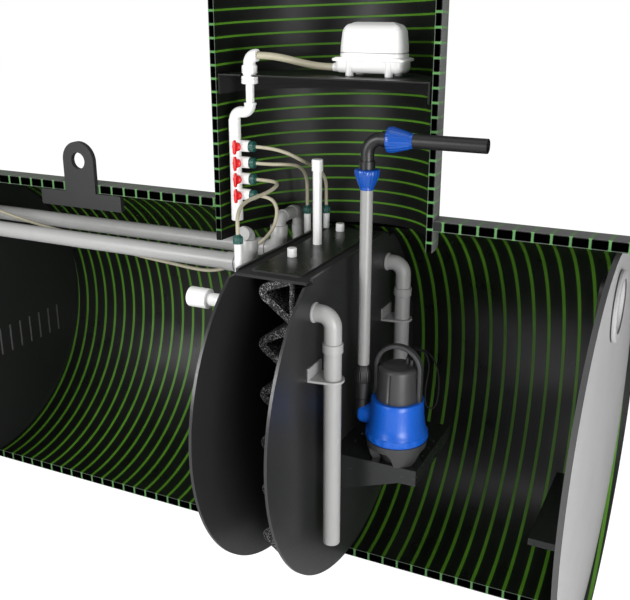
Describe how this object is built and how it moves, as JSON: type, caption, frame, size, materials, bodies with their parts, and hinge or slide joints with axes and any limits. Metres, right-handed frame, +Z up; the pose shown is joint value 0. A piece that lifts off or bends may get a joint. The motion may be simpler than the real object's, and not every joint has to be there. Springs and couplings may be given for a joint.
{
  "type": "packaged sewage treatment plant",
  "caption": "Lying round sewage treatment tank cut open lengthwise, with access shaft, reactor, air manifold, blower, discharge pump and pipes inside.",
  "frame": {"origin": "on the access shaft's axis, in the plane of the cut, level with the tank's lowest line", "axes": "+X along the tank to the outlet end, +Y away from the cut into the kept half, +Z up"},
  "size_m": [5.228, 2.0529, 3.325],
  "materials": {
    "shell_black": "glossy, with green ribs of the winding",
    "plate_grey": "light grey",
    "disc_grey": "dark grey sheet",
    "ring_grey": "smooth grey",
    "sheet_black": "glossy black sheet",
    "pipe_grey": "light grey pipe",
    "pipe_white": "white",
    "media": "porous, speckled grey",
    "nut_green": "dark green",
    "handle_red": "red",
    "hose_beige": "beige hose",
    "hose_white": "cream hose",
    "pump_blue": "blue enamel",
    "nut_blue": "blue",
    "fitting_black": "black",
    "pump_dark": "dark grey",
    "cable_black": "black cable",
    "lug_steel": "dark grey"
  },
  "bodies": {
    "plant": {"access_shaft": "shell_black", "air_drop_tubes": "pipe_white", "air_elbow": "pipe_white", "air_hose_1": "hose_beige", "air_hose_2": "hose_beige", "air_hose_3": "hose_beige", "air_hose_4": "hose_beige", "air_manifold": "pipe_white", "air_offset_pipe": "pipe_white", "air_union": "pipe_white", "bio_media": "media", "blower_base": "pipe_white", "blower_cover": "pipe_white", "blower_hose": "hose_white", "blower_shelf": "sheet_black", "dip_pipe_brackets": "pipe_grey", "discharge_elbow": "fitting_black", "discharge_nuts": "nut_blue", "discharge_pipe": "fitting_black", "discharge_riser": "pipe_grey", "drop_tube_nuts": "nut_green", "front_dip_pipe": "pipe_grey", "front_riser_bend": "pipe_grey", "front_transfer_pipe": "pipe_grey", "hose_gland": "nut_green", "inlet_end_plate": "plate_grey", "inlet_socket": "ring_grey", "lid_caps": "pipe_white", "lifting_lug": "lug_steel", "media_tube": "media", "outlet_end_plate": "plate_grey", "outlet_ledge": "sheet_black", "outlet_socket": "ring_grey", "pump_base": "pump_dark", "pump_cable": "cable_black", "pump_deck": "sheet_black", "pump_handle": "pump_dark", "pump_motor": "pump_dark", "pump_volute": "pump_blue", "reactor_left_disc": "disc_grey", "reactor_lid": "sheet_black", "reactor_right_disc": "disc_grey", "rear_dip_pipe": "pipe_grey", "rear_riser_bend": "pipe_grey", "rear_transfer_pipe": "pipe_grey", "riser_coupling": "fitting_black", "settlement_partition": "disc_grey", "side_stub": "pipe_white", "standpipe": "pipe_white", "tank_shell": "shell_black", "valve_nuts": "nut_green"},
    "valve_handle_1": {"valve_handle_1": "handle_red"},
    "valve_handle_2": {"valve_handle_2": "handle_red"},
    "valve_handle_3": {"valve_handle_3": "handle_red"},
    "valve_handle_4": {"valve_handle_4": "handle_red"}
  },
  "joints": [
    {"name": "valve_turn_1", "type": "hinge", "parent": "plant", "child": "valve_handle_1", "pos_m": [-0.49, -0.02, 2.405], "axis": [0, 1, 0], "range_deg": [0, 90]},
    {"name": "valve_turn_2", "type": "hinge", "parent": "plant", "child": "valve_handle_2", "pos_m": [-0.49, -0.02, 2.315], "axis": [0, 1, 0], "range_deg": [0, 90]},
    {"name": "valve_turn_3", "type": "hinge", "parent": "plant", "child": "valve_handle_3", "pos_m": [-0.49, -0.02, 2.225], "axis": [0, 1, 0], "range_deg": [0, 90]},
    {"name": "valve_turn_4", "type": "hinge", "parent": "plant", "child": "valve_handle_4", "pos_m": [-0.49, -0.02, 2.135], "axis": [0, 1, 0], "range_deg": [0, 90]}
  ]
}
